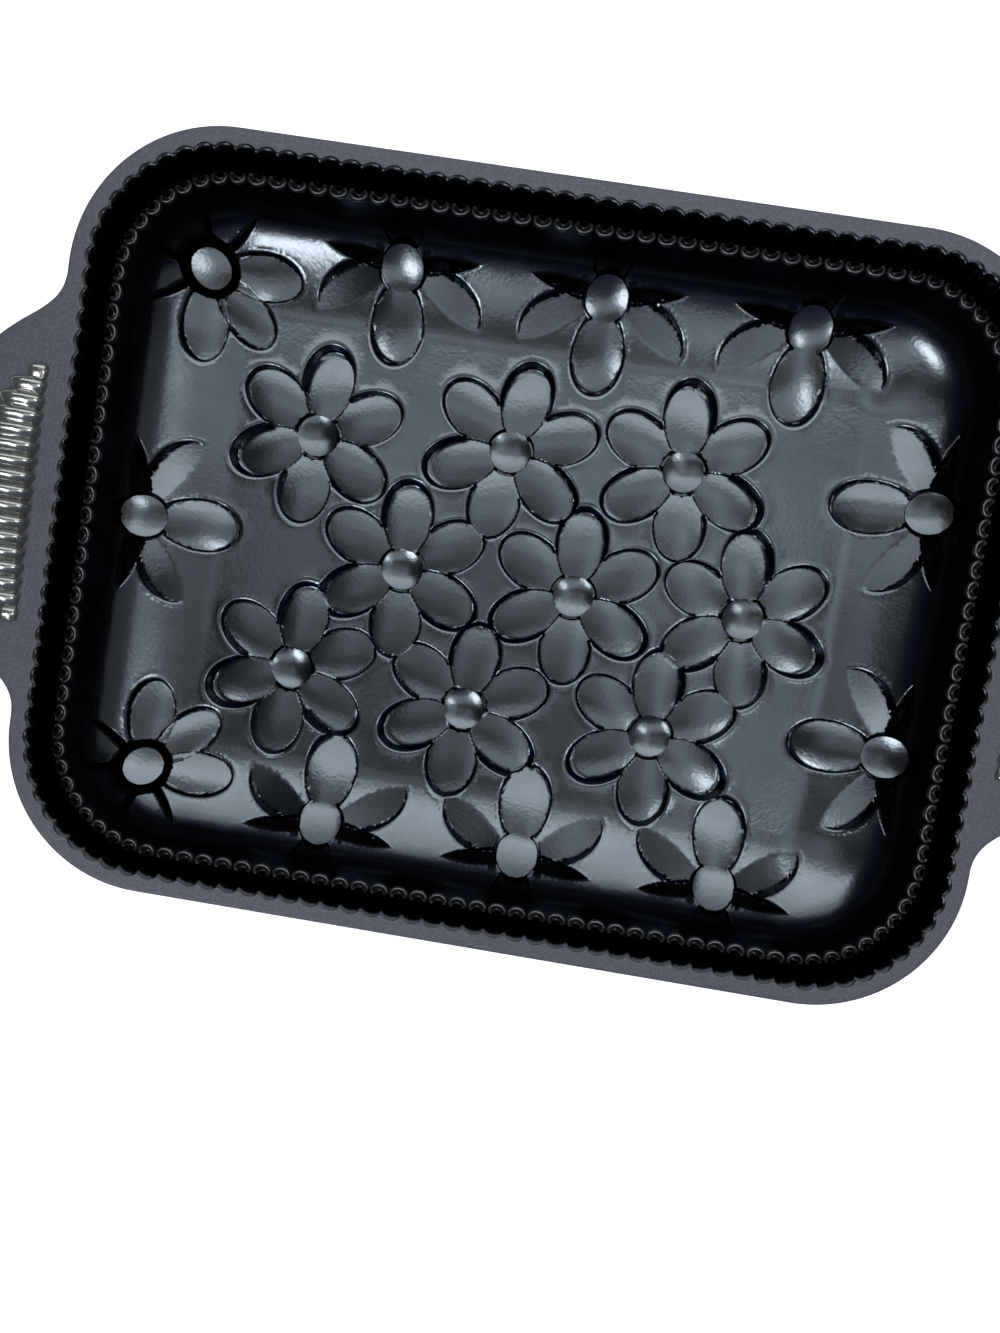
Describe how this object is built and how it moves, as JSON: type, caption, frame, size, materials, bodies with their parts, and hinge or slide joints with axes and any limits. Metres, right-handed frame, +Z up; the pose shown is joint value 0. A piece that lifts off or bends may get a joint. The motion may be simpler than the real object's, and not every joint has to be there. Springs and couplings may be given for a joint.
{
  "type": "flower cake pan",
  "caption": "Rectangular cast cake pan with rounded corners, daisy sockets sunk in its floor, a fluted and beaded border under a flat rim, and a ribbed ear handle at each end.",
  "frame": {"origin": "centre of the footprint, on the flat base that the pan stands on", "axes": "+Z up out of the mouth, +X along the length towards the right-hand handle, +Y across the width"},
  "size_m": [0.391, 0.254, 0.0645],
  "materials": {
    "release_coat": "cast aluminium under a glossy dark grey non-stick coat",
    "rim_coat": "cast aluminium under a satin grey coat with a fine grain",
    "grip_coat": "cast aluminium ribs under a glossier grey coat"
  },
  "bodies": {
    "root": {"flower_floor": "release_coat", "side_wall": "release_coat", "fluted_border": "release_coat", "rim_flange": "rim_coat", "handle_left": "rim_coat", "handle_right": "rim_coat", "grip_left": "grip_coat", "grip_right": "grip_coat"}
  },
  "joints": []
}
